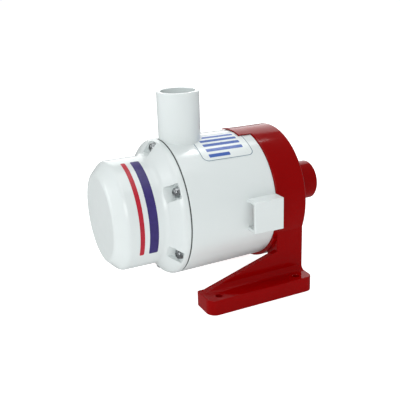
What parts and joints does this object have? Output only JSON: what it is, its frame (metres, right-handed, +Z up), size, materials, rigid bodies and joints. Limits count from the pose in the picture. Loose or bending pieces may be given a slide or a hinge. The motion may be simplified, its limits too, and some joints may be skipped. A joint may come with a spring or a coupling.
{
  "type": "electric centrifugal washdown pump",
  "caption": "Electric centrifugal boat pump: round white motor and pump housing with an upright hose outlet, in a red bracket base with two long feet and a rear inlet.",
  "frame": {"origin": "centre of the four mounting holes, on the underside of the feet", "axes": "+Z up, +Y along the pump axis towards the inlet, so that the motor cap is at -Y"},
  "size_m": [0.15, 0.218, 0.1855],
  "materials": {
    "red_plastic": "deep red moulded plastic, glossy",
    "white_plastic": "cool white moulded plastic, glossy",
    "case_plastic": "pale grey glass-filled plastic",
    "gasket_rubber": "dark grey rubber",
    "seal_rubber": "black nitrile rubber",
    "stainless": "stainless steel, satin",
    "motor_steel": "zinc-plated pressed steel",
    "core_steel": "stacked steel laminations",
    "ferrite": "dark ferrite",
    "copper": "enamelled copper",
    "bronze": "oil-filled sintered bronze",
    "brass": "pressed brass",
    "carbon": "carbon brush",
    "brush_board": "brown laminate board",
    "black_nylon": "black nylon",
    "body_label": "printed vinyl label with plain blue bars",
    "cap_decal": "printed vinyl band with plain red and navy stripes"
  },
  "bodies": {
    "base": {"pump_base": "red_plastic", "latch_pins": "stainless"},
    "latch_right": {"latch_arm_right": "red_plastic"},
    "latch_left": {"latch_arm_left": "red_plastic"},
    "pump_unit": {"pump_housing": "white_plastic", "housing_o_ring": "seal_rubber", "motor_cap": "white_plastic", "cap_gasket": "gasket_rubber", "cap_screws": "stainless", "body_label": "body_label", "cap_decal": "cap_decal", "gland_body": "black_nylon", "gland_nut": "black_nylon", "gland_seal": "seal_rubber", "motor_case": "case_plastic", "motor_can": "motor_steel", "magnets": "ferrite", "end_bell": "motor_steel", "brush_plate": "brush_board", "brush_holders": "brass", "brushes": "carbon", "brush_springs": "stainless", "through_bolts": "stainless", "front_bushing": "bronze", "rear_bushing": "bronze", "shaft_seals": "seal_rubber", "seal_retainer": "stainless", "guide_vane_plate": "case_plastic", "guide_plate_screws": "stainless"},
    "rotor": {"motor_shaft": "stainless", "armature_core": "core_steel", "armature_windings": "copper", "commutator": "copper", "thrust_washers": "bronze", "impeller": "black_nylon", "impeller_nut": "stainless"}
  },
  "joints": [
    {"name": "unit_release", "type": "slide", "parent": "base", "child": "pump_unit", "axis": [0, -1, 0], "range_m": [0, 0.045]},
    {"name": "rotor_spin", "type": "hinge", "parent": "pump_unit", "child": "rotor", "pos_m": [0, 0, 0.0815], "axis": [0, 1, 0], "continuous": true},
    {"name": "latch_right_flex", "type": "hinge", "parent": "base", "child": "latch_right", "pos_m": [0.059, 0.0251, 0.0815], "axis": [0, 0, 1], "range_deg": [0, 5], "stiffness_Nm_per_rad": 0.2},
    {"name": "latch_left_flex", "type": "hinge", "parent": "base", "child": "latch_left", "pos_m": [-0.059, 0.0251, 0.0815], "axis": [0, 0, -1], "range_deg": [0, 5], "stiffness_Nm_per_rad": 0.2}
  ]
}
